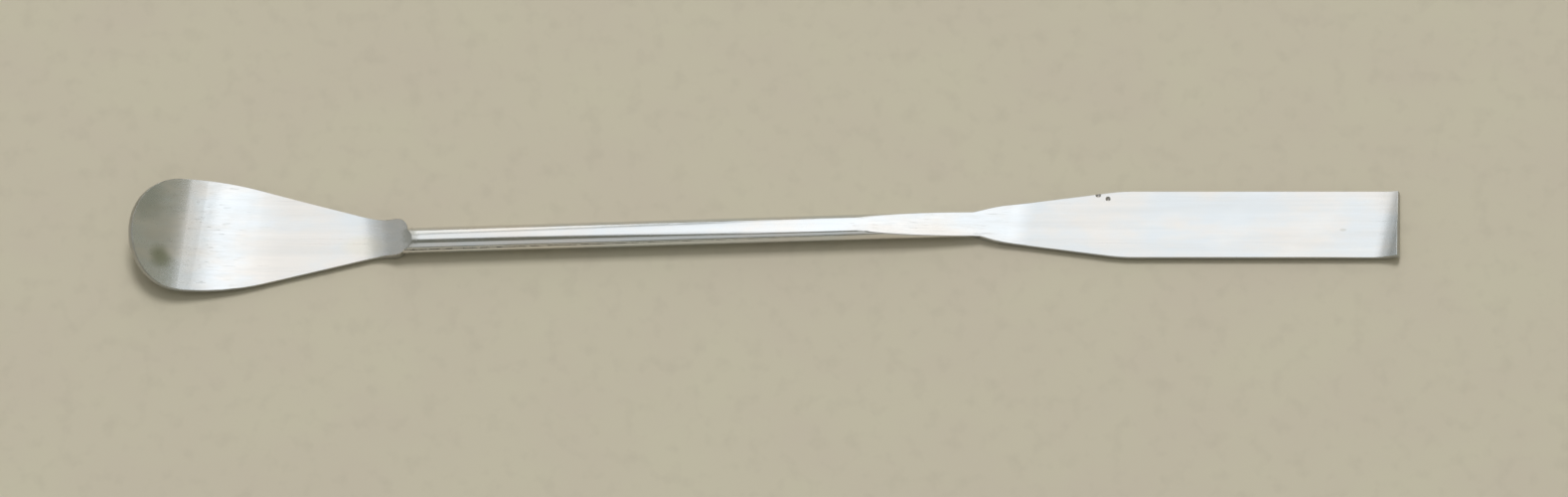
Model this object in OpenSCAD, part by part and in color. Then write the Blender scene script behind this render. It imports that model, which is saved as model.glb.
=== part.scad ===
// Double-ended lab spatula: a round rod pressed flat at both ends.
// One end is a scoop with a lifted lip, the other a narrow parallel blade.
// X runs along the length towards the blade, Y across, Z up.
// The origin is under the middle, on the surface that it lies on.

/* [Overall] */
// Length over both ends
overall_len = 150; // [140:1:160]

/* [Handle] */
// Diameter of the round rod
rod_d = 3; // [2.8:0.1:3.2]
// Depth of the flat worn along the underside of the rod
underside_flat = 0.03; // [0.02:0.01:0.05]
// Angle between the rod and the blade, seen from above
rod_skew = 1.8; // [0:0.1:2.5]

/* [Scoop] */
// Length from the lip to the back of the neck
scoop_len = 32.9; // [32:0.1:34]
// Greatest width of the scoop
scoop_w = 13.7; // [12.5:0.1:14.5]
// Thickness of the pressed metal
scoop_t = 0.8; // [0.6:0.05:1]
// Radius of the blunt front of the outline
front_r = 10; // [9:0.5:14]
// Radius of the two rounded corners beside the front
corner_r = 5.4; // [4.5:0.1:6]
// Radius of the bowed sides
bow_r = 36; // [30:1:42]
// Narrowing of each side towards the neck
scoop_taper = 14.3; // [13.5:0.1:16]
// Width of the neck
neck_w = 4.45; // [4:0.05:4.8]
// Angle between the scoop and the blade, seen from above
scoop_skew = -0.6; // [-1.5:0.1:0]
// Distance from the lip at which the metal starts to lift
lift_start = 18.5; // [17:0.1:20]
// Radius of the slow lift
lift_r = 72; // [65:1:85]
// Radius of the lip itself
lip_r = 16; // [13:0.5:20]
// Angle at which the slow lift turns into the lip
lip_start_angle = 9.6; // [9:0.1:11]
// Angle of the lip's bend across the scoop, away from square
lip_lean = 8; // [0:1:12]
// Distance from the lip at which the ramp up to the rod starts
ramp_start = 27.3; // [27:0.1:28]
// Radius of that ramp
ramp_r = 8.9; // [8:0.1:10]
// Angle of the ramp across the neck, away from square
ramp_lean = -6; // [-10:1:10]

/* [Blade] */
// Length of the parallel part of the blade
blade_len = 31.4; // [28:0.2:34]
// Width of the blade
blade_w = 8.25; // [7.5:0.05:9]
// Thickness of the blade
blade_t = 0.9; // [0.7:0.05:1.1]
// Length of the tapered shoulders
shoulder_len = 16.1; // [14:0.1:18]
// Width where the tapered shoulders start
shoulder_w = 4.4; // [4:0.1:5]
// Length of the quick flare from the rod to the shoulders
flare_len = 2.4; // [2:0.1:3]
// Height of the long sloping flat above the blade, for each millimetre of length
flat_slope = 0.1; // [0.08:0.005:0.12]
// Length of the turned-up end
end_lift_len = 2.3; // [1.5:0.1:3]
// Radius of the turned-up end
end_lift_r = 6; // [6:0.5:12]
// Angle of the blade's bends across it, away from square
end_lean = 12; // [0:1:15]

/* [Hidden] */

// Greatest turn between two neighbouring points of an arc, in degrees
arc_step = 3;
// Radius of the rounded corners at the back of the neck
ear_r = 1.45;
// Radius of the hollow where the scoop runs into the neck
neck_r = 8;
// Length from the widest part of the scoop to its blunt front
bow_start = 7;
// Radius between the tapered shoulders and the parallel blade
shoulder_r = 24;
// Radius between the sloping flat and the blade
flat_r = 30;
// Angle past which the lip's profile is always outside the outline
lip_end_angle = 52;
// Angle past which the blade's turned-up profile is always outside the outline
end_lift_angle = 30;
// Angle past which the ramp is always above the rod
ramp_end_angle = 50;
// Distance past the start of the shoulders at which the sloping flat meets the blade
flat_foot = 3.6;
// Distance past the start of the shoulders at which the rod's axis meets the blade's
kink = 1.1;
// Sideways step between the axis of the scoop's neck and the rod's axis
neck_offset = 0.4;
// Stretch of the scoop's level face that the lip's side view and the ramp's side view share
level_start = 21.5;
level_end = 24.5;
// How far the rod runs into the metal of each end
rod_overlap = 5;
// Height of the blanks that the side profiles cut to shape, above the rod
blank_h = 5;
// Half width of the side profiles, which lean but still cover the whole length
profile_half_w = 60;

rod_r = rod_d / 2;
rod_axis_z = rod_r - underside_flat;
half_len = overall_len / 2;
underside_half_w = sqrt(rod_r * rod_r - rod_axis_z * rod_axis_z);
scoop_half_w = scoop_w / 2;
neck_half_w = neck_w / 2;
blade_half_w = blade_w / 2;

// Where the front arc of the scoop meets its corner arcs
front_turn = asin((scoop_half_w - corner_r) / (front_r - corner_r));
corner_x = front_r - (front_r - corner_r) * cos(front_turn);

// Where the bowed side ends and the hollow of the neck starts and ends
bow_end = [bow_start + bow_r * sin(scoop_taper), scoop_half_w - bow_r * (1 - cos(scoop_taper))];
hollow_y = neck_half_w + neck_r * (1 - cos(scoop_taper));
hollow_x = bow_end.x + (bow_end.y - hollow_y) / tan(scoop_taper) + neck_r * sin(scoop_taper);

// The lip's arc follows on from the slow lift
lip_x = lift_start - (lift_r - lip_r) * sin(lip_start_angle);
lip_z = lift_r - (lift_r - lip_r) * cos(lip_start_angle);

// The tapered shoulders, measured back from the end of the blade
shoulder_angle = atan((blade_half_w - shoulder_w / 2) / shoulder_len);
flare_end_x = -blade_len - shoulder_len;

// The sloping flat and its meeting with the blade
flat_angle = atan(flat_slope);
flat_foot_x = flare_end_x + flat_foot;
flat_tangent = flat_r * tan(flat_angle / 2);
flat_top_x = flat_foot_x - (blank_h - blade_t) / flat_slope;

// The three axes, seen from above: the scoop's, the rod's and the blade's
scoop_x = bow_start - half_len;
neck_x = scoop_len - half_len;
neck_y = tan(scoop_skew) * (neck_x - scoop_x) - neck_offset;
kink_x = half_len + flare_end_x + kink;
blade_y = neck_y + tan(rod_skew) * (kink_x - neck_x);

// Points along an arc, from one angle to another, both ends included
function arc(centre, radius, from, to) =
    let (steps = max(1, ceil(abs(to - from) / arc_step)))
    [for (i = [0 : steps])
        let (a = from + (to - from) * i / steps)
        centre + radius * [cos(a), sin(a)]];

// A list without its first point, for an arc that carries on from another
function tail(points) = [for (i = [1 : len(points) - 1]) points[i]];

// A half outline above the X axis, closed by its own reflection below
function mirrored(points) =
    concat(points, [for (i = [len(points) - 1 : -1 : 0]) if (points[i].y > 0) [points[i].x, -points[i].y]]);

// Upper half of the scoop, from the middle of its front back to the neck
function scoop_edge() = concat(
    arc([front_r, 0], front_r, 180, 180 - front_turn),
    tail(arc([corner_x, scoop_half_w - corner_r], corner_r, 180 - front_turn, 90)),
    arc([bow_start, scoop_half_w - bow_r], bow_r, 90, 90 - scoop_taper),
    arc([hollow_x, neck_half_w + neck_r], neck_r, 270 - scoop_taper, 270),
    arc([scoop_len - ear_r, neck_half_w - ear_r], ear_r, 90, 0));

// Upper half of the blade, from under the rod out to its square end
function blade_edge() = concat(
    [[flare_end_x - flare_len - rod_overlap, underside_half_w]],
    [[flare_end_x - flare_len, rod_r]],
    [[flare_end_x, shoulder_w / 2]],
    arc([-blade_len, blade_half_w - shoulder_r], shoulder_r, 90 + shoulder_angle, 90),
    [[0, blade_half_w]]);

// Side view of the scoop's front: lip, slow lift and level face, open above the rest
function lip_side() = concat(
    arc([lip_x, lip_z], lip_r, 270 - lip_end_angle, 270 - lip_start_angle),
    tail(arc([lift_start, lift_r], lift_r, 270 - lip_start_angle, 270)),
    [[2 * overall_len, 0]],
    [[2 * overall_len, blank_h]],
    [[level_end, blank_h]],
    [[level_end, scoop_t]],
    arc([lift_start, lift_r], lift_r - scoop_t, 270, 270 - lip_start_angle),
    tail(arc([lip_x, lip_z], lip_r - scoop_t, 270 - lip_start_angle, 270 - lip_end_angle)));

// Side view of the scoop's back: level face and the ramp up to the rod, open above the front
function ramp_side() = concat(
    [[-overall_len, -scoop_t]],
    [[2 * overall_len, -scoop_t]],
    [[2 * overall_len, blank_h]],
    [[ramp_start + ramp_r, blank_h]],
    arc([ramp_start, scoop_t + ramp_r], ramp_r, 270 + ramp_end_angle, 270),
    [[level_start, scoop_t]],
    [[level_start, blank_h]],
    [[-overall_len, blank_h]]);

// Side view of the blade: the sloping flat, the level face and the turned-up end
function blade_side() = concat(
    [[-2 * overall_len, 0]],
    arc([-end_lift_len, end_lift_r], end_lift_r, 270, 270 + end_lift_angle),
    arc([-end_lift_len, end_lift_r], end_lift_r - blade_t, 270 + end_lift_angle, 270),
    arc([flat_foot_x + flat_tangent, blade_t + flat_r], flat_r, 270, 270 - flat_angle),
    [[flat_top_x, blank_h]],
    [[-2 * overall_len, blank_h]]);

// A side view carried across the object, with its bends leaning away from square
module across(points, lean)
    rotate([0, 0, -lean])
        translate([0, profile_half_w, 0])
            rotate([90, 0, 0])
                linear_extrude(2 * profile_half_w)
                    polygon(points);

// An outline seen from above, tall enough to be cut by the side views
module blank(points)
    translate([0, 0, -underside_flat])
        linear_extrude(blank_h)
            polygon(mirrored(points));

module scoop_blank()
    translate([scoop_x, 0, 0])
        rotate([0, 0, scoop_skew])
            translate([-bow_start, 0, 0])
                blank(scoop_edge());

module blade_blank()
    translate([half_len, blade_y, 0])
        blank(blade_edge());

// The round rod, with its axis low enough for the flat along its underside
module rod_blank()
    translate([neck_x, neck_y, rod_axis_z])
        rotate([0, 0, rod_skew])
            translate([-rod_overlap, 0, 0])
                rotate([0, 90, 0])
                    cylinder(r = rod_r, h = kink_x - neck_x + 2 * rod_overlap, $fn = 96);

// The whole spatula: one piece of metal, the blanks cut by the side views
module spatula()
    color("silver")
        intersection() {
            union() {
                scoop_blank();
                rod_blank();
                blade_blank();
            }
            translate([-half_len, 0, 0])
                across(lip_side(), lip_lean);
            translate([-half_len, 0, 0])
                across(ramp_side(), ramp_lean);
            translate([half_len, blade_y, 0])
                across(blade_side(), end_lean);
        }

spatula();
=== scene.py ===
import math

import bmesh
import bpy
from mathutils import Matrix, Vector


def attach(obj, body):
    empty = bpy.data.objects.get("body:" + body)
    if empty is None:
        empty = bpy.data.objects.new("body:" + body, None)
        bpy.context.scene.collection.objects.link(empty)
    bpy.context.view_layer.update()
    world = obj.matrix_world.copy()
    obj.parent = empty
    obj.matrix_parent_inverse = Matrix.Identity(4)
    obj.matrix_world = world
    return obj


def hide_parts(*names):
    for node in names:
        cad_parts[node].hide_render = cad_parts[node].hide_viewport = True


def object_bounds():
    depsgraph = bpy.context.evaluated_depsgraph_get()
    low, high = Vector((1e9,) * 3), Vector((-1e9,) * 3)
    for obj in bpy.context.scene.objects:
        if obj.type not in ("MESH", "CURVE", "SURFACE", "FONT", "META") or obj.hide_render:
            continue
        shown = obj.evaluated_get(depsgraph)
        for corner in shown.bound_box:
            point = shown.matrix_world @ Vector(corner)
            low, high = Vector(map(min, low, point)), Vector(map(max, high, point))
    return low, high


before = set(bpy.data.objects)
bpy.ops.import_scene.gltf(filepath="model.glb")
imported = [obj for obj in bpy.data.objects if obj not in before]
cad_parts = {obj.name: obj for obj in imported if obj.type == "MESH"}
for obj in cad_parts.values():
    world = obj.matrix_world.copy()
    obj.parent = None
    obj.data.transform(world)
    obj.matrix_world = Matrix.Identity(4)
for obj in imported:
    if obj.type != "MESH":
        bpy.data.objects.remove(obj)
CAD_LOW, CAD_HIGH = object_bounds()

# A double-ended stainless lab spatula, made the way a workshop makes it: a round rod and two
# trimmed blanks in one piece, pressed between dies, its edges broken, its ends bent up.
# The bench works in millimetres; the finished piece is brought down to metres at the end.
MM = 0.001

# Driving sizes, in millimetres and degrees, as in the frame's construction
ROD_RADIUS = 1.5
UNDERSIDE_FLAT = 0.03
ROD_SKEW = 1.8
LIP_LEAN = 8
RAMP_LEAN = -6
END_LEAN = 12
SCOOP_LENGTH = 32.9
SCOOP_HALF_WIDTH = 6.85
SCOOP_THICKNESS = 0.8
SCOOP_TAPER = 14.3
SCOOP_SKEW = -0.6
BOW_RADIUS = 36
BOW_START = 7
NECK_HALF_WIDTH = 2.225
NECK_RADIUS = 8
NECK_OFFSET = 0.4
EAR_RADIUS = 1.45
LIFT_START = 18.5
LIFT_RADIUS = 72
LIP_RADIUS = 16
LIP_START_ANGLE = 9.6
RAMP_START = 27.3
RAMP_RADIUS = 8.9
BLADE_LENGTH = 31.4
BLADE_HALF_WIDTH = 4.125
BLADE_THICKNESS = 0.9
SHOULDER_LENGTH = 16.1
SHOULDER_HALF_WIDTH = 2.2
SHOULDER_RADIUS = 24
FLARE_LENGTH = 2.4
FLAT_SLOPE = 0.1
FLAT_FOOT = 3.6
FLAT_RADIUS = 30
KINK = 1.1
END_LIFT_LENGTH = 2.3
END_LIFT_RADIUS = 6
END_LIFT_ANGLE = 23

# How finely arcs are drawn, and the bench's own allowances, in millimetres and degrees
ARC_STEP = 2
SHORTEST_CHORD = 0.25
BEND_STEP = 1.5
BLANK_HEIGHT = 4
DIE_HEIGHT = 8
DIE_REACH = 24
ROD_SIDES = 96
ROD_OVERLAP = 5
CLOSE_GAP = 0.0005
WELD_GAP = 0.004
EDGE_BREAK = 0.11
EDGE_SEGMENTS = 3
SHARP_ANGLE = 35
WALL_TILT = 0.5
# How far from the lip's end its rounded rim is painted dark with shade and made rougher
SHADED_DULL_RIM_LENGTH = 6
CORNER_SOFTENING = 1.1
CORNER_STEPS = 6
RAMP_DIE_ANGLE = 60
PUNCH_SUBDIVISIONS = 4
SMOOTH_ANGLE = 30

# Two small nicks in the far edge of the blade, near its shoulder: place, radius and depth
NICKS = (((39.35, 5.22), 0.34, 0.13), ((40.5, 4.72), 0.3, 0.1))

# Marks on the steel, a dark patch and painted shade on the lip: the middle of each and its reach along
# the three axes
STRAW_TINT = ((-47.2, -1.2, 0.8), (3.6, 1.9, 2))
LIP_DARK_PATCH = ((-71.4, -2.8, 2), (2.1, 1.9, 2.4))
# Painted shade on the upper-left of the lip, standing in for the dark reflection it shows there
LIP_PAINTED_SHADE = ((-73.6, 4.2, 3.5), (3.4, 4.2, 4))
NECK_SCALE = ((-42, -0.5, 3), (1.4, 1.9, 1.4))
BLADE_MARK = ((68.2, 0.86, BLADE_THICKNESS), (0.5, 0.22, 0.5))


def sine(degrees):
    return math.sin(math.radians(degrees))


def cosine(degrees):
    return math.cos(math.radians(degrees))


def tangent(degrees):
    return math.tan(math.radians(degrees))


# The lip ends where its bend reaches the end of the spatula
LIP_END_ANGLE = math.degrees(math.asin(
    (LIFT_START - LIFT_RADIUS * sine(LIP_START_ANGLE)) / LIP_RADIUS + sine(LIP_START_ANGLE)))

# Places along the object that follow from those sizes and from the frame
LIP_X = CAD_LOW.x / MM
END_X = CAD_HIGH.x / MM
SCOOP_X = LIP_X + BOW_START
NECK_X = LIP_X + SCOOP_LENGTH
NECK_Y = tangent(SCOOP_SKEW) * (NECK_X - SCOOP_X) - NECK_OFFSET
FLARE_END_X = END_X - BLADE_LENGTH - SHOULDER_LENGTH
KINK_X = FLARE_END_X + KINK
BLADE_Y = NECK_Y + tangent(ROD_SKEW) * (KINK_X - NECK_X)
UNDERSIDE_HALF_WIDTH = math.sqrt(ROD_RADIUS ** 2 - (ROD_RADIUS - UNDERSIDE_FLAT) ** 2)

# Stretches along the object over which one finish gives way to another
NECK_STRETCH = (NECK_X - 1, NECK_X + 3)
FLARE_STRETCH = (FLARE_END_X - 20, FLARE_END_X)
RAMP_STRETCH = (LIP_X + RAMP_START - 1, LIP_X + RAMP_START + 1)
END_STRETCH = (END_X - 3.2, END_X - 1.8)
LIP_STRETCH = (LIP_X + 5, LIP_X + 11)


# ---------------------------------------------------------------- bench tools

def take(piece):
    """Makes one piece the only one in hand."""
    bpy.ops.object.select_all(action="DESELECT")
    bpy.context.view_layer.objects.active = piece
    piece.select_set(True)


def edit(piece):
    """Takes one piece in hand and opens it, with its whole mesh selected."""
    if bpy.context.object and bpy.context.object.mode == "EDIT":
        put_down()
    take(piece)
    bpy.ops.object.mode_set(mode="EDIT")
    bpy.ops.mesh.select_mode(type="VERT")
    bpy.ops.mesh.select_all(action="SELECT")


def put_down():
    """Closes the piece in hand."""
    bpy.ops.object.mode_set(mode="OBJECT")


def select_where(piece, wanted):
    """Selects the vertices of the piece in hand that are wanted, and nothing else."""
    bpy.ops.mesh.select_all(action="DESELECT")
    put_down()
    for vertex in piece.data.vertices:
        vertex.select = wanted(vertex.co)
    bpy.ops.object.mode_set(mode="EDIT")


def turn(degrees, axis, pivot):
    """Turns what is selected anticlockwise about an axis, seen from that axis's tip.

    The rotate tool counts the other way, so its angle is negated, as the spin tool's is."""
    bpy.ops.transform.rotate(value=-math.radians(degrees), orient_axis=axis, center_override=pivot)


class Pen:
    """Draws an outline on one plane, as straight lines and arcs."""

    def __init__(self, name, start, normal):
        bpy.ops.object.select_all(action="DESELECT")
        bpy.ops.mesh.primitive_plane_add(size=1)
        self.outline = bpy.context.object
        self.outline.name = name
        self.normal = normal
        bpy.ops.object.mode_set(mode="EDIT")
        bpy.ops.mesh.merge(type="CENTER")
        bpy.ops.transform.translate(value=start)
        self.at = Vector(start)

    def line_to(self, point):
        step = Vector(point) - self.at
        bpy.ops.mesh.extrude_region_move(TRANSFORM_OT_translate={"value": step})
        self.at = Vector(point)

    def arc(self, centre, degrees):
        """Draws on along an arc, anticlockwise where degrees is above zero.

        A small arc has fewer steps, so that none is shorter than its broken edge is wide."""
        radius = (self.at - Vector(centre)).length
        step = max(ARC_STEP, math.degrees(SHORTEST_CHORD / radius))
        steps = max(1, math.ceil(abs(degrees) / step))
        bpy.ops.mesh.spin(steps=steps, angle=-math.radians(degrees), center=centre, axis=self.normal)
        put_down()
        end = next(v for v in self.outline.data.vertices if v.select)
        self.at = end.co.copy()
        bpy.ops.object.mode_set(mode="EDIT")

    def fill(self, height):
        """Closes the outline, fills it and raises it to a solid."""
        bpy.ops.mesh.select_all(action="SELECT")
        bpy.ops.mesh.remove_doubles(threshold=CLOSE_GAP)
        bpy.ops.mesh.edge_face_add()
        bpy.ops.mesh.extrude_region_move(TRANSFORM_OT_translate={"value": height})
        bpy.ops.mesh.select_all(action="SELECT")
        bpy.ops.mesh.normals_make_consistent(inside=False)
        put_down()
        return self.outline

    def mirror_across(self):
        """Adds the other half of an outline drawn above the X axis."""
        put_down()
        apply_modifier(self.outline, "MIRROR", use_axis=(False, True, False), merge_threshold=CLOSE_GAP)
        edit(self.outline)


def apply_modifier(piece, kind, **settings):
    """Adds a modifier to a piece, sets it and applies it."""
    take(piece)
    modifier = piece.modifiers.new(kind.lower(), kind)
    for setting, value in settings.items():
        setattr(modifier, setting, value)
    bpy.ops.object.modifier_apply(modifier=modifier.name)


def combine(piece, tool, operation):
    """Joins a tool's solid to the piece, or cuts it away, and clears the tool."""
    apply_modifier(piece, "BOOLEAN", operation=operation, object=tool, solver="EXACT")
    bpy.data.objects.remove(tool)


def place(piece, degrees, where):
    """Turns a blank about the Z axis through the origin, then moves it to its place."""
    edit(piece)
    turn(degrees, "Z", (0, 0, 0))
    bpy.ops.transform.translate(value=where)
    put_down()


# ---------------------------------------------------------------- blanks and dies

def scoop_blank():
    """The scoop and its neck before the lip is bent, with the lip's metal laid out straight."""
    lip_arc = math.radians(LIP_END_ANGLE - LIP_START_ANGLE) * LIP_RADIUS
    lift_arc = math.radians(LIP_START_ANGLE) * LIFT_RADIUS
    flat_lip = LIFT_START - lift_arc - lip_arc
    hollow_y = NECK_HALF_WIDTH + NECK_RADIUS * (1 - cosine(SCOOP_TAPER))
    bow_end_x = BOW_START + BOW_RADIUS * sine(SCOOP_TAPER)
    bow_end_y = SCOOP_HALF_WIDTH - BOW_RADIUS * (1 - cosine(SCOOP_TAPER))
    hollow_x = bow_end_x + (bow_end_y - hollow_y) / tangent(SCOOP_TAPER)
    ear_x = SCOOP_LENGTH - EAR_RADIUS
    pen = Pen("scoop_blank", (SCOOP_LENGTH, 0, 0), (0, 0, 1))
    pen.line_to((SCOOP_LENGTH, NECK_HALF_WIDTH - EAR_RADIUS, 0))
    pen.arc((ear_x, NECK_HALF_WIDTH - EAR_RADIUS, 0), 90)
    pen.line_to((hollow_x + NECK_RADIUS * sine(SCOOP_TAPER), NECK_HALF_WIDTH, 0))
    pen.arc((pen.at.x, NECK_HALF_WIDTH + NECK_RADIUS, 0), -SCOOP_TAPER)
    pen.line_to((bow_end_x, bow_end_y, 0))
    pen.arc((BOW_START, SCOOP_HALF_WIDTH - BOW_RADIUS, 0), SCOOP_TAPER)
    pen.line_to((flat_lip + SCOOP_HALF_WIDTH, SCOOP_HALF_WIDTH, 0))
    pen.arc((flat_lip + SCOOP_HALF_WIDTH, 0, 0), 90)
    pen.mirror_across()
    blank = pen.fill((0, 0, BLANK_HEIGHT))
    place(blank, 0, (-BOW_START, 0, 0))
    place(blank, SCOOP_SKEW, (SCOOP_X, 0, 0))
    return blank


def rod_blank():
    """The round rod, with the narrow flat along its underside."""
    length = KINK_X - NECK_X + 2 * ROD_OVERLAP
    bpy.ops.object.select_all(action="DESELECT")
    bpy.ops.mesh.primitive_cylinder_add(vertices=ROD_SIDES, radius=ROD_RADIUS, depth=length)
    rod = bpy.context.object
    rod.name = "rod_blank"
    edit(rod)
    turn(90, "Y", (0, 0, 0))
    bpy.ops.transform.translate(value=(length / 2 - ROD_OVERLAP, 0, ROD_RADIUS - UNDERSIDE_FLAT))
    bpy.ops.mesh.select_all(action="SELECT")
    bpy.ops.mesh.bisect(plane_co=(0, 0, 0), plane_no=(0, 0, 1), use_fill=True, clear_inner=True)
    put_down()
    place(rod, ROD_SKEW, (NECK_X, NECK_Y, 0))
    return rod


def blade_blank():
    """The blade and its tapered shoulders, running back under the rod."""
    shoulder_angle = math.degrees(math.atan((BLADE_HALF_WIDTH - SHOULDER_HALF_WIDTH) / SHOULDER_LENGTH))
    flare_end = -BLADE_LENGTH - SHOULDER_LENGTH
    flare_start = flare_end - FLARE_LENGTH
    centre = Vector((-BLADE_LENGTH, BLADE_HALF_WIDTH - SHOULDER_RADIUS, 0))
    shoulder_end = centre + SHOULDER_RADIUS * Vector((-sine(shoulder_angle), cosine(shoulder_angle), 0))
    pen = Pen("blade_blank", (flare_start - ROD_OVERLAP, 0, 0), (0, 0, 1))
    pen.line_to((flare_start - ROD_OVERLAP, UNDERSIDE_HALF_WIDTH, 0))
    pen.line_to((flare_start, ROD_RADIUS, 0))
    pen.line_to((flare_end, SHOULDER_HALF_WIDTH, 0))
    pen.line_to(shoulder_end)
    pen.arc(centre, -shoulder_angle)
    pen.line_to((0, BLADE_HALF_WIDTH, 0))
    pen.line_to((0, 0, 0))
    pen.mirror_across()
    select_where(pen.outline, lambda co: flare_start - CLOSE_GAP < co.x < flare_end + CLOSE_GAP)
    bpy.ops.mesh.bevel(offset=CORNER_SOFTENING, segments=CORNER_STEPS, affect="VERTICES")
    blank = pen.fill((0, 0, BLANK_HEIGHT))
    place(blank, 0, (END_X, BLADE_Y, 0))
    return blank


def scoop_die():
    """Presses the scoop's level face and the hollow ramp that climbs back up to the rod."""
    pen = Pen("scoop_die", (-DIE_REACH, -DIE_REACH, SCOOP_THICKNESS), (0, -1, 0))
    pen.line_to((RAMP_START, -DIE_REACH, SCOOP_THICKNESS))
    pen.arc((RAMP_START, -DIE_REACH, SCOOP_THICKNESS + RAMP_RADIUS), RAMP_DIE_ANGLE)
    pen.line_to((pen.at.x, -DIE_REACH, DIE_HEIGHT))
    pen.line_to((-DIE_REACH, -DIE_REACH, DIE_HEIGHT))
    die = pen.fill((0, 2 * DIE_REACH, 0))
    place(die, -RAMP_LEAN, (LIP_X, 0, 0))
    return die


def blade_die():
    """Presses the blade's level face and the long sloping flat on top of the rod."""
    flat_angle = math.degrees(math.atan(FLAT_SLOPE))
    foot = -BLADE_LENGTH - SHOULDER_LENGTH + FLAT_FOOT
    centre = (foot + FLAT_RADIUS * tangent(flat_angle / 2), -DIE_REACH, BLADE_THICKNESS + FLAT_RADIUS)
    top = foot - (DIE_HEIGHT - BLADE_THICKNESS) / FLAT_SLOPE
    pen = Pen("blade_die", (DIE_REACH, -DIE_REACH, BLADE_THICKNESS), (0, -1, 0))
    pen.line_to((centre[0], -DIE_REACH, BLADE_THICKNESS))
    pen.arc(centre, -flat_angle)
    pen.line_to((top, -DIE_REACH, DIE_HEIGHT))
    pen.line_to((DIE_REACH, -DIE_REACH, DIE_HEIGHT))
    die = pen.fill((0, 2 * DIE_REACH, 0))
    place(die, -END_LEAN, (END_X, BLADE_Y, 0))
    return die


# ---------------------------------------------------------------- forging

def forge():
    """Joins the blanks into one piece of metal and presses both ends."""
    spatula = rod_blank()
    combine(spatula, scoop_blank(), "UNION")
    combine(spatula, blade_blank(), "UNION")
    combine(spatula, scoop_die(), "DIFFERENCE")
    combine(spatula, blade_die(), "DIFFERENCE")
    spatula.name = "spatula_body"
    return spatula


def bend(spatula, start, lean, pivot, way, stages):
    """Bends the metal past a start line, upwards, in small equal turns across the lean.

    way is -1 towards the scoop's lip and 1 towards the blade's end. Each stage is a radius and
    the angle that the bend has reached at its end."""
    edit(spatula)
    turn(lean, "Z", pivot)
    put_down()
    along = 0
    angle = 0
    lines = []
    for radius, end_angle in stages:
        steps = max(1, math.ceil((end_angle - angle) / BEND_STEP))
        step_angle = (end_angle - angle) / steps
        for _ in range(steps):
            lines.append((along, step_angle))
            along += math.radians(step_angle) * radius
        angle = end_angle
    for distance, _ in lines:
        edit(spatula)
        bpy.ops.mesh.bisect(plane_co=(start + way * distance, 0, 0), plane_no=(1, 0, 0))
        put_down()
    for distance, step_angle in reversed(lines):
        line = start + way * distance
        edit(spatula)
        select_where(spatula, lambda co: way * (co.x - line) > CLOSE_GAP)
        turn(-way * step_angle, "Y", (line, 0, 0))
        put_down()
    edit(spatula)
    turn(-lean, "Z", pivot)
    put_down()


def break_edges(spatula):
    """Takes the sharpness off the outer edges, all but those hidden under the rod."""
    edit(spatula)
    bpy.ops.mesh.remove_doubles(threshold=WELD_GAP)
    bpy.ops.mesh.select_mode(type="EDGE")
    bpy.ops.mesh.select_all(action="DESELECT")
    mesh = bmesh.from_edit_mesh(spatula.data)
    for edge in mesh.edges:
        sharp = edge.is_convex and edge.calc_face_angle() > math.radians(SHARP_ANGLE)
        edge.select = sharp and not any(under_rod(end.co) for end in edge.verts)
    bmesh.update_edit_mesh(spatula.data)
    bpy.ops.mesh.bevel(offset=EDGE_BREAK, segments=EDGE_SEGMENTS, clamp_overlap=False)
    put_down()
    mark_faces(spatula, "rounded_edge", lambda face: face.select)
    mark_faces(spatula, "trimmed_wall", is_trimmed)


def is_trimmed(face):
    """True on the cut walls of both ends, and on the rounded rim of the lip."""
    upright = abs(face.normal.z) < WALL_TILT
    beside_rod = NECK_X < face.center.x < FLARE_END_X
    lip_rim = face.select and face.center.x < LIP_X + SHADED_DULL_RIM_LENGTH
    return upright and not beside_rod or lip_rim


def mark_faces(spatula, name, wanted):
    """Writes a mark on every face, for its finish: 1 where it is wanted and 0 elsewhere."""
    marks = [float(wanted(face)) for face in spatula.data.polygons]
    attribute = spatula.data.attributes.new(name, "FLOAT", "FACE")
    attribute.data.foreach_set("value", marks)


def nick(spatula, where, radius, depth):
    """Knocks a small round dent into the top of the blade."""
    ball_radius = (radius ** 2 + depth ** 2) / (2 * depth)
    bpy.ops.object.select_all(action="DESELECT")
    bpy.ops.mesh.primitive_ico_sphere_add(subdivisions=PUNCH_SUBDIVISIONS, radius=ball_radius)
    punch = bpy.context.object
    edit(punch)
    bpy.ops.transform.translate(value=(*where, BLADE_THICKNESS + ball_radius - depth))
    put_down()
    combine(spatula, punch, "DIFFERENCE")


def under_rod(point):
    """True where a point of the underside is tucked under the round rod."""
    axis_y = NECK_Y + tangent(ROD_SKEW) * (point.x - NECK_X)
    along_rod = NECK_X - CLOSE_GAP < point.x < FLARE_END_X + CLOSE_GAP
    return along_rod and point.z < WELD_GAP and abs(point.y - axis_y) < ROD_RADIUS


spatula = forge()
break_edges(spatula)
for where, radius, depth in NICKS:
    nick(spatula, where, radius, depth)
bend(spatula, LIP_X + LIFT_START, LIP_LEAN, (LIP_X, 0, 0), -1,
     [(LIFT_RADIUS, LIP_START_ANGLE), (LIP_RADIUS, LIP_END_ANGLE)])
bend(spatula, END_X - END_LIFT_LENGTH, END_LEAN, (END_X, BLADE_Y, 0), 1,
     [(END_LIFT_RADIUS, END_LIFT_ANGLE)])
edit(spatula)
bpy.ops.mesh.remove_doubles(threshold=WELD_GAP)
bpy.ops.transform.resize(value=(MM, MM, MM), center_override=(0, 0, 0))
put_down()


# ---------------------------------------------------------------- finish

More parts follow.
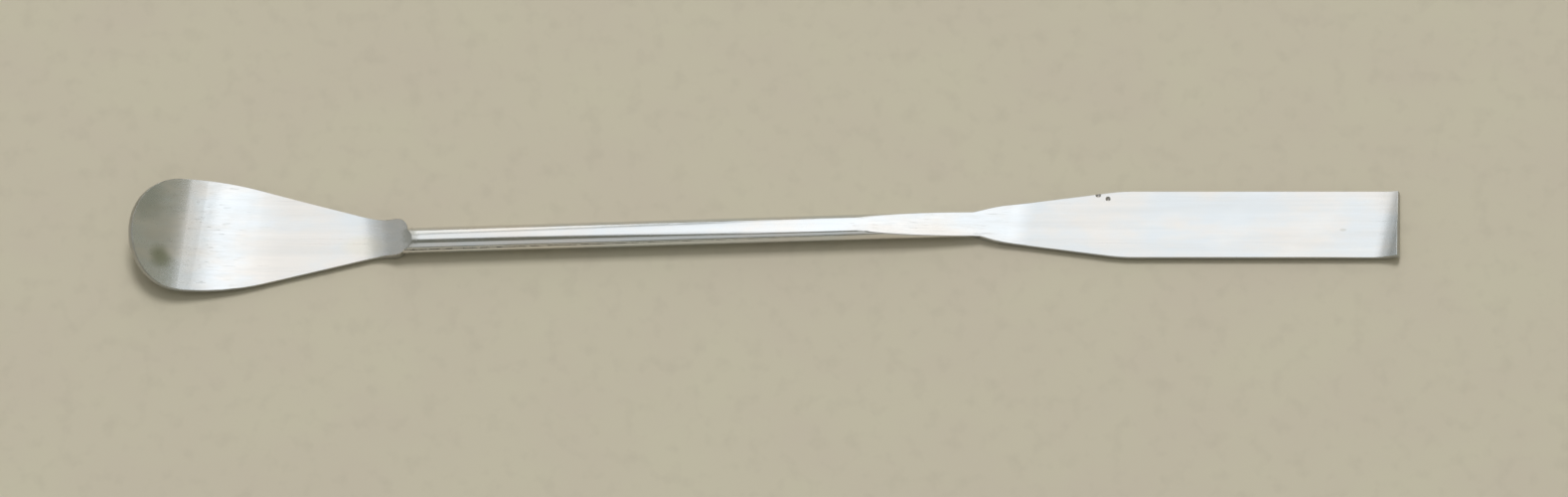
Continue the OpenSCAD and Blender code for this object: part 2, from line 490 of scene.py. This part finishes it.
class Recipe:
    """A material being built up from nodes."""

    def __init__(self, name):
        self.material = bpy.data.materials.new(name)
        self.material.use_nodes = True
        self.tree = self.material.node_tree
        self.shader = self.tree.nodes["Principled BSDF"]
        self.object_place = self.tree.nodes.new("ShaderNodeTexCoord").outputs["Object"]

    def node(self, kind, inputs, **settings):
        """Adds a node, with its settings and with its inputs given as values or as sockets."""
        node = self.tree.nodes.new("ShaderNode" + kind)
        for setting, value in settings.items():
            setattr(node, setting, value)
        for name, value in inputs.items():
            if isinstance(value, bpy.types.NodeSocket):
                self.tree.links.new(value, node.inputs[name])
            else:
                node.inputs[name].default_value = value
        return node

    def stretched(self, scale, degrees=0):
        """Object coordinates stretched for a pattern, turned about Z by an angle."""
        mapping = self.node("Mapping", {"Vector": self.object_place, "Scale": scale,
                                        "Rotation": (0, 0, math.radians(degrees))})
        return mapping.outputs["Vector"]

    def noise(self, where, detail=3, roughness=0.5):
        """A noise pattern over stretched coordinates, from 0 to 1."""
        noise = self.node("TexNoise", {"Vector": where, "Scale": 1, "Detail": detail,
                                       "Roughness": roughness})
        return noise.outputs["Fac"]

    def remap(self, value, low, high, to_low, to_high, smooth=False):
        """Carries one range of a value onto another, and holds it at both ends."""
        kind = "SMOOTHSTEP" if smooth else "LINEAR"
        remap = self.node("MapRange", {"Value": value, "From Min": low, "From Max": high,
                                       "To Min": to_low, "To Max": to_high}, interpolation_type=kind)
        return remap.outputs["Result"]

    def blend(self, along, stretch, before, past, smooth=False):
        """Carries one value over into another along a stretch of the object."""
        start, end = stretch
        return self.remap(along, start * MM, end * MM, before, past, smooth)

    def math(self, operation, first, second):
        """Works on two values, each given as a number or as a socket."""
        node = self.node("Math", {}, operation=operation)
        for socket, value in zip(node.inputs, (first, second)):
            if isinstance(value, bpy.types.NodeSocket):
                self.tree.links.new(value, socket)
            else:
                socket.default_value = value
        return node.outputs["Value"]

    def mix(self, fac, first, second):
        """Mixes two colours."""
        node = self.node("MixRGB", {"Fac": fac, "Color1": first, "Color2": second})
        return node.outputs["Color"]

    def spot(self, centre, reach, ragged):
        """A soft patch round a point, 1 in its middle and 0 past its reach, its border ragged.

        The centre and the reach are in millimetres along the three axes."""
        offset = self.node("VectorMath", {0: self.object_place, 1: Vector(centre) * MM},
                           operation="SUBTRACT").outputs["Vector"]
        scaled = self.node("VectorMath", {0: offset, 1: Vector(reach) * MM},
                           operation="DIVIDE").outputs["Vector"]
        far = self.node("VectorMath", {0: scaled}, operation="LENGTH").outputs["Value"]
        far = self.math("ADD", far, self.remap(ragged, 0.3, 0.7, -0.25, 0.25))
        return self.remap(far, 0.35, 1, 1, 0, smooth=True)

    def stain(self, colour, patch, strength, tint):
        """Tints a colour where a patch lies."""
        return self.mix(self.math("MULTIPLY", patch, strength), colour, tint)

    def link(self, value, socket):
        """Feeds a value into one of the shader's sockets."""
        self.tree.links.new(value, self.shader.inputs[socket])


def satin_stainless():
    """Satin stainless steel: drawn along the rod, softly polished at both ends, worn in use, with shade
    painted on its trimmed walls and lip.
    """
    steel = Recipe("satin_stainless")
    steel.shader.inputs["Metallic"].default_value = 1

    # Where the finishes lie: the round rod, the bent metal, the trimmed walls, the edges
    along = steel.node("SeparateXYZ", {"Vector": steel.object_place}).outputs["X"]
    behind_scoop = steel.blend(along, NECK_STRETCH, 0, 1, smooth=True)
    before_blade = steel.blend(along, FLARE_STRETCH, 1, 0, smooth=True)
    on_rod = steel.math("MULTIPLY", behind_scoop, before_blade)
    past_ramp_foot = steel.blend(along, RAMP_STRETCH, 0, 1)
    on_ramp = steel.math("MULTIPLY", past_ramp_foot, steel.math("SUBTRACT", 1, behind_scoop))
    on_blade_end = steel.blend(along, END_STRETCH, 0, 1)
    on_lip = steel.blend(along, LIP_STRETCH, 1, 0, smooth=True)
    bent = steel.math("MAXIMUM", steel.math("MAXIMUM", on_ramp, on_blade_end), on_lip)
    wall = steel.node("Attribute", {}, attribute_name="trimmed_wall").outputs["Fac"]
    edge = steel.node("Attribute", {}, attribute_name="rounded_edge").outputs["Fac"]

    # The patterns, most of them stretched along the length
    grain = steel.noise(steel.stretched((45, 3600, 3600)), detail=5, roughness=0.62)
    streaks = steel.noise(steel.stretched((28, 900, 900), 1.5), detail=4, roughness=0.6)
    clouds = steel.noise(steel.stretched((85, 170, 170), 8), detail=4, roughness=0.55)
    haze = steel.noise(steel.stretched((150, 260, 260), -20), detail=2)
    scratches = steel.remap(steel.noise(steel.stretched((60, 5200, 5200), 7), detail=1),
                            0.66, 0.72, 0, 1)
    cross_scratches = steel.remap(steel.noise(steel.stretched((90, 6400, 6400), -24), detail=1),
                                  0.68, 0.73, 0, 1)
    skin = steel.noise(steel.stretched((1700, 1700, 1700)))

    # Colour: cool and warm clouds, faint streaks, stains and marks, a dark patch on the lip, painted
    # shade on the lip and on the trimmed walls
    cool = (0.745, 0.785, 0.83, 1)
    warm = (0.825, 0.79, 0.765, 1)
    colour = steel.mix(steel.remap(clouds, 0.36, 0.64, 0, 1, smooth=True), cool, warm)
    colour = steel.mix(steel.remap(streaks, 0.38, 0.66, 0.0, 0.36), colour, (0.66, 0.67, 0.68, 1))
    colour = steel.mix(steel.remap(haze, 0.5, 0.8, 0, 0.3, smooth=True), colour, (0.87, 0.88, 0.90, 1))
    colour = steel.stain(colour, steel.spot(*STRAW_TINT, clouds), 0.55, (0.80, 0.755, 0.665, 1))
    # A dark greenish patch on the front of the lip's bend
    colour = steel.stain(colour, steel.spot(*LIP_DARK_PATCH, clouds), 0.8, (0.36, 0.38, 0.28, 1))
    # Painted shade: darkens the upper-left of the lip, in place of its dark reflection
    colour = steel.stain(colour, steel.spot(*LIP_PAINTED_SHADE, haze), 0.4, (0.42, 0.43, 0.38, 1))
    scale = steel.spot(*NECK_SCALE, skin)
    colour = steel.stain(colour, scale, 0.55, (0.42, 0.42, 0.38, 1))
    # Painted shade: the trimmed walls and the lip's rounded rim are darkened for the shade and dark
    # reflections along them
    colour = steel.stain(colour, wall, 0.62, (0.36, 0.36, 0.33, 1))
    for where, radius, _ in NICKS:
        pit = steel.spot((*where, BLADE_THICKNESS), (radius, radius, radius), grain)
        colour = steel.stain(colour, pit, 0.8, (0.20, 0.17, 0.16, 1))
    colour = steel.stain(colour, steel.spot(*BLADE_MARK, grain), 0.3, (0.42, 0.40, 0.30, 1))
    steel.link(colour, "Base Color")

    # Roughness: bent and trimmed metal is hazier than the rod, the edges are rubbed bright
    roughness = steel.remap(clouds, 0.3, 0.7, 0.15, 0.21)
    roughness = steel.math("ADD", roughness, steel.remap(grain, 0.3, 0.7, -0.02, 0.03))
    roughness = steel.math("SUBTRACT", roughness, steel.math("MULTIPLY", on_rod, 0.02))
    roughness = steel.math("ADD", roughness, steel.math("MULTIPLY", scratches, 0.08))
    roughness = steel.math("SUBTRACT", roughness, steel.math("MULTIPLY", edge, 0.03))
    roughness = steel.math("ADD", roughness, steel.math("MULTIPLY", wall, 0.16))
    roughness = steel.math("ADD", roughness, steel.math("MULTIPLY", scale, 0.08))
    roughness = steel.math("ADD", roughness, steel.math("MULTIPLY", bent, 0.1))
    steel.link(roughness, "Roughness")

    # Height: drawn grain, a few scratches, and the hammered skin at the neck
    lines = steel.math("MULTIPLY", grain, steel.remap(on_rod, 0, 1, 0.7, 1.2))
    height = steel.math("SUBTRACT", lines, steel.math("MULTIPLY", scratches, 0.5))
    height = steel.math("SUBTRACT", height, steel.math("MULTIPLY", cross_scratches, 0.35))
    height = steel.math("ADD", height, steel.math("MULTIPLY", steel.math("MULTIPLY", scale, skin), 4))
    bump = steel.node("Bump", {"Height": height, "Distance": 0.004 * MM, "Strength": 1})
    steel.link(bump.outputs["Normal"], "Normal")
    return steel.material


spatula.data.materials.clear()
spatula.data.materials.append(satin_stainless())
take(spatula)
bpy.ops.object.shade_smooth_by_angle(angle=math.radians(SMOOTH_ANGLE))
apply_modifier(spatula, "WEIGHTED_NORMAL", keep_sharp=True)
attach(spatula, "root")
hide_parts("spatula")


# ---------------------------------------------------------------- studio

# The board's width and the camera's place, in metres and degrees
BOARD_WIDTH = 12
CAMERA_RISE = 72
CAMERA_DISTANCE = 2.5
VIEW_WIDTH = 0.1849
VIEW_CENTRE = Vector((2.27 * MM, -1.14 * MM, 0))


def floor_board():
    """The plain pale board that the spatula lies on, in faintly mottled card."""
    bpy.ops.object.select_all(action="DESELECT")
    bpy.ops.mesh.primitive_plane_add(size=BOARD_WIDTH)
    board = bpy.context.object
    board.name = "floor"
    paper = Recipe("pale_board")
    blotches = paper.noise(paper.stretched((55, 80, 80)), roughness=0.6)
    greenish = (0.625, 0.582, 0.464, 1)
    pinkish = (0.617, 0.56, 0.46, 1)
    tone = paper.mix(paper.remap(blotches, 0.35, 0.65, 0, 1), greenish, pinkish)
    specks = paper.noise(paper.stretched((420, 420, 420)), detail=2)
    tone = paper.mix(paper.remap(specks, 0.52, 0.74, 0, 0.3), tone, (0.52, 0.475, 0.385, 1))
    paper.link(tone, "Base Color")
    paper.shader.inputs["Roughness"].default_value = 0.8
    paper.shader.inputs["Specular IOR Level"].default_value = 0.1
    board.data.materials.append(paper.material)


def panel(name, middle, facing, size, radiance, colour):
    """A soft light panel of a given brightness, hidden from the camera itself."""
    data = bpy.data.lights.new(name, "AREA")
    data.shape = "RECTANGLE"
    data.size, data.size_y = size
    data.energy = radiance * math.pi * size[0] * size[1]
    data.color = colour
    lamp = bpy.data.objects.new(name, data)
    lamp.location = middle
    lamp.rotation_euler = (-facing).to_track_quat("Z", "Y").to_euler()
    lamp.visible_camera = False
    bpy.context.scene.collection.objects.link(lamp)
    return lamp


def softbox(name, height, left, right, front, back, radiance, colour):
    """A level softbox overhead. Its four edges are angles away from straight up."""
    low = Vector((tangent(left), tangent(front), 1)) * height
    high = Vector((tangent(right), tangent(back), 1)) * height
    size = (high.x - low.x, high.y - low.y)
    panel(name, (low + high) / 2, Vector((0, 0, -1)), size, radiance, colour)


def card(name, bearing, rise, distance, size, radiance, colour):
    """A card that faces the spatula, from a bearing round the board and a rise above it."""
    towards = Vector((cosine(bearing) * cosine(rise), sine(bearing) * cosine(rise), sine(rise)))
    return panel(name, towards * distance, -towards, size, radiance, colour)


def studio():
    """Sets out the board, the softboxes, the cards round them and the lamp.

    The softboxes overlap in steps, so the steel fades gently from bright to dark. The lamp throws
    the shadow under the spatula and is kept out of the steel's reflections."""
    floor_board()
    softbox("wide_softbox", 6.0, -36, 17.5, -6, 44, 0.46, (0.97, 1, 1.03))
    softbox("main_softbox", 5.9, -14, 16.5, -6, 36, 0.43, (1, 1, 1))
    softbox("near_right_softbox", 5.8, 3.5, 16, 0, 34, 0.1, (1, 1, 1))
    softbox("right_softbox", 5.7, 5.5, 15.5, 0, 34, 0.11, (1, 1, 1))
    softbox("far_right_softbox", 5.6, 8.5, 15, 0, 34, 0.11, (1, 1, 1))
    card("back_card", 90, 25, 8, (6, 5.6), 0.95, (1, 0.99, 0.95))
    card("front_card", 270, 30, 8, (4.5, 5.6), 0.40, (1, 1, 1))
    card("right_card", 0, 40, 8, (10, 10), 0.16, (1, 1, 0.8))
    card("left_card", 180, 26, 8, (9, 8), 0.26, (0.97, 1, 1.03))
    back_lamp = card("back_lamp", 90, 60, 7, (2.2, 2.2), 13.6, (1, 1, 1))
    back_lamp.visible_glossy = False
    world = bpy.data.worlds.new("studio")
    world.use_nodes = True
    world.node_tree.nodes["Background"].inputs["Color"].default_value = (0.16, 0.16, 0.125, 1)
    bpy.context.scene.world = world
    bpy.context.scene.view_settings.view_transform = "Standard"


def camera():
    """Looks down on the spatula from in front, steeply."""
    data = bpy.data.cameras.new("camera")
    data.sensor_width = 36
    data.lens = data.sensor_width * CAMERA_DISTANCE / VIEW_WIDTH
    data.clip_start = 0.01
    eye = bpy.data.objects.new("camera", data)
    away = Vector((0, -cosine(CAMERA_RISE), sine(CAMERA_RISE)))
    eye.location = VIEW_CENTRE + CAMERA_DISTANCE * away
    eye.rotation_euler = away.to_track_quat("Z", "Y").to_euler()
    bpy.context.scene.collection.objects.link(eye)
    bpy.context.scene.camera = eye


studio()
camera()
